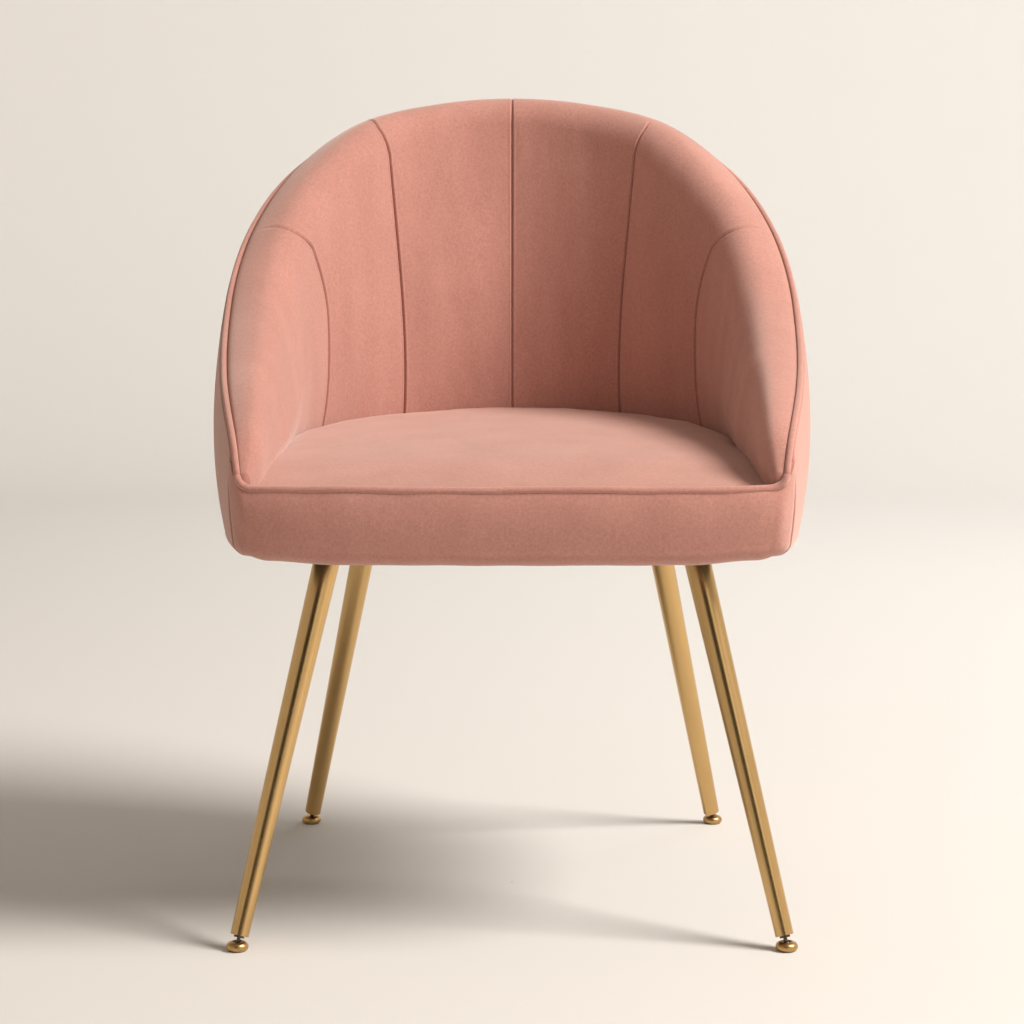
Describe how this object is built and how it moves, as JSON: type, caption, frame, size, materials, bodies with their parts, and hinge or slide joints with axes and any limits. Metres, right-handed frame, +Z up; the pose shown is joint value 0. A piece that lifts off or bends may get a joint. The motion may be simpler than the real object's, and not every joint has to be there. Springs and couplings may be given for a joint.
{
  "type": "styling chair",
  "caption": "Upholstered tub chair with a channelled wrap-round back, a crowned seat with piping, and splayed tapered metal legs on levelling feet.",
  "frame": {"origin": "on the floor, under the middle of the chair", "axes": "+Z up, front at -Y, +X to the right in a front view"},
  "size_m": [0.5802, 0.5459, 0.782],
  "materials": {
    "velvet": "dusty pink cotton velvet",
    "welt_velvet": "velvet piping",
    "foam": "upholstery foam",
    "felt": "needled felt",
    "dust_cloth": "black non-woven cloth",
    "beech": "planed beech",
    "plywood": "moulded plywood",
    "spring_steel": "oiled spring wire",
    "screw_steel": "zinc plated",
    "brushed_brass": "brushed brass plating on steel tube",
    "plate_steel": "black coated steel",
    "insert_steel": "machined steel",
    "dark_collar": "darkened steel",
    "foot_brass": "turned brass",
    "nylon": "dark nylon"
  },
  "bodies": {
    "chair": {"back_channel_arm_left": "velvet", "back_channel_arm_right": "velvet", "back_channel_inner_left": "velvet", "back_channel_inner_right": "velvet", "back_channel_outer_left": "velvet", "back_channel_outer_right": "velvet", "back_shell": "plywood", "corner_blocks": "beech", "dust_cover": "dust_cloth", "dust_cover_staples": "screw_steel", "foot_inserts": "insert_steel", "frame_screws": "screw_steel", "front_border_cover": "velvet", "front_border_foam": "foam", "front_rail": "beech", "leg_front_left": "brushed_brass", "leg_front_right": "brushed_brass", "leg_plate_front_left": "plate_steel", "leg_plate_front_right": "plate_steel", "leg_plate_rear_left": "plate_steel", "leg_plate_rear_right": "plate_steel", "leg_rear_left": "brushed_brass", "leg_rear_right": "brushed_brass", "leg_screws": "screw_steel", "outer_cover_centre": "velvet", "outer_cover_left": "velvet", "outer_cover_right": "velvet", "outer_padding": "foam", "rear_rail": "beech", "rim_welt": "welt_velvet", "seat_cushion_cover": "velvet", "seat_foam": "foam", "seat_welt": "welt_velvet", "shell_screws": "screw_steel", "side_rail_left": "beech", "side_rail_right": "beech", "spring_clips": "spring_steel", "spring_felt": "felt", "zigzag_springs": "spring_steel"},
    "stem_front_left": {"foot_stem_front_left": "insert_steel"},
    "collar_front_left": {"foot_collar_front_left": "dark_collar"},
    "pad_front_left": {"foot_pad_front_left": "foot_brass", "foot_sole_front_left": "nylon"},
    "stem_front_right": {"foot_stem_front_right": "insert_steel"},
    "collar_front_right": {"foot_collar_front_right": "dark_collar"},
    "pad_front_right": {"foot_pad_front_right": "foot_brass", "foot_sole_front_right": "nylon"},
    "stem_rear_left": {"foot_stem_rear_left": "insert_steel"},
    "collar_rear_left": {"foot_collar_rear_left": "dark_collar"},
    "pad_rear_left": {"foot_pad_rear_left": "foot_brass", "foot_sole_rear_left": "nylon"},
    "stem_rear_right": {"foot_stem_rear_right": "insert_steel"},
    "collar_rear_right": {"foot_collar_rear_right": "dark_collar"},
    "pad_rear_right": {"foot_pad_rear_right": "foot_brass", "foot_sole_rear_right": "nylon"}
  },
  "joints": [
    {"name": "foot_height_front_left", "type": "slide", "parent": "chair", "child": "stem_front_left", "axis": [-0.2165, -0.2589, -0.9413], "range_m": [0, 0.008]},
    {"name": "collar_turn_front_left", "type": "hinge", "parent": "stem_front_left", "child": "collar_front_left", "pos_m": [-0.25226, -0.25151, 0.0054], "axis": [-0.2165, -0.2589, -0.9413], "range_deg": [0, 2304]},
    {"name": "foot_tilt_front_left", "type": "hinge", "parent": "stem_front_left", "child": "pad_front_left", "pos_m": [-0.25226, -0.25151, 0.0054], "axis": [0.7671, -0.6416, 0], "range_deg": [-7, 7]},
    {"name": "foot_height_front_right", "type": "slide", "parent": "chair", "child": "stem_front_right", "axis": [0.2165, -0.2589, -0.9413], "range_m": [0, 0.008]},
    {"name": "collar_turn_front_right", "type": "hinge", "parent": "stem_front_right", "child": "collar_front_right", "pos_m": [0.25226, -0.25151, 0.0054], "axis": [0.2165, -0.2589, -0.9413], "range_deg": [0, 2304]},
    {"name": "foot_tilt_front_right", "type": "hinge", "parent": "stem_front_right", "child": "pad_front_right", "pos_m": [0.25226, -0.25151, 0.0054], "axis": [0.7671, 0.6416, 0], "range_deg": [-7, 7]},
    {"name": "foot_height_rear_left", "type": "slide", "parent": "chair", "child": "stem_rear_left", "axis": [-0.195, 0.2732, -0.942], "range_m": [0, 0.008]},
    {"name": "collar_turn_rear_left", "type": "hinge", "parent": "stem_rear_left", "child": "collar_rear_left", "pos_m": [-0.21948, 0.25843, 0.0054], "axis": [-0.195, 0.2732, -0.942], "range_deg": [0, 2304]},
    {"name": "foot_tilt_rear_left", "type": "hinge", "parent": "stem_rear_left", "child": "pad_rear_left", "pos_m": [-0.21948, 0.25843, 0.0054], "axis": [-0.8139, -0.581, 0], "range_deg": [-7, 7]},
    {"name": "foot_height_rear_right", "type": "slide", "parent": "chair", "child": "stem_rear_right", "axis": [0.195, 0.2732, -0.942], "range_m": [0, 0.008]},
    {"name": "collar_turn_rear_right", "type": "hinge", "parent": "stem_rear_right", "child": "collar_rear_right", "pos_m": [0.21948, 0.25843, 0.0054], "axis": [0.195, 0.2732, -0.942], "range_deg": [0, 2304]},
    {"name": "foot_tilt_rear_right", "type": "hinge", "parent": "stem_rear_right", "child": "pad_rear_right", "pos_m": [0.21948, 0.25843, 0.0054], "axis": [-0.8139, 0.581, 0], "range_deg": [-7, 7]}
  ],
  "couplings": [
    {"joint": "collar_turn_front_left", "follows": "foot_height_front_left", "rad_per_m": 5026.5},
    {"joint": "collar_turn_front_right", "follows": "foot_height_front_right", "rad_per_m": 5026.5},
    {"joint": "collar_turn_rear_left", "follows": "foot_height_rear_left", "rad_per_m": 5026.5},
    {"joint": "collar_turn_rear_right", "follows": "foot_height_rear_right", "rad_per_m": 5026.5}
  ]
}
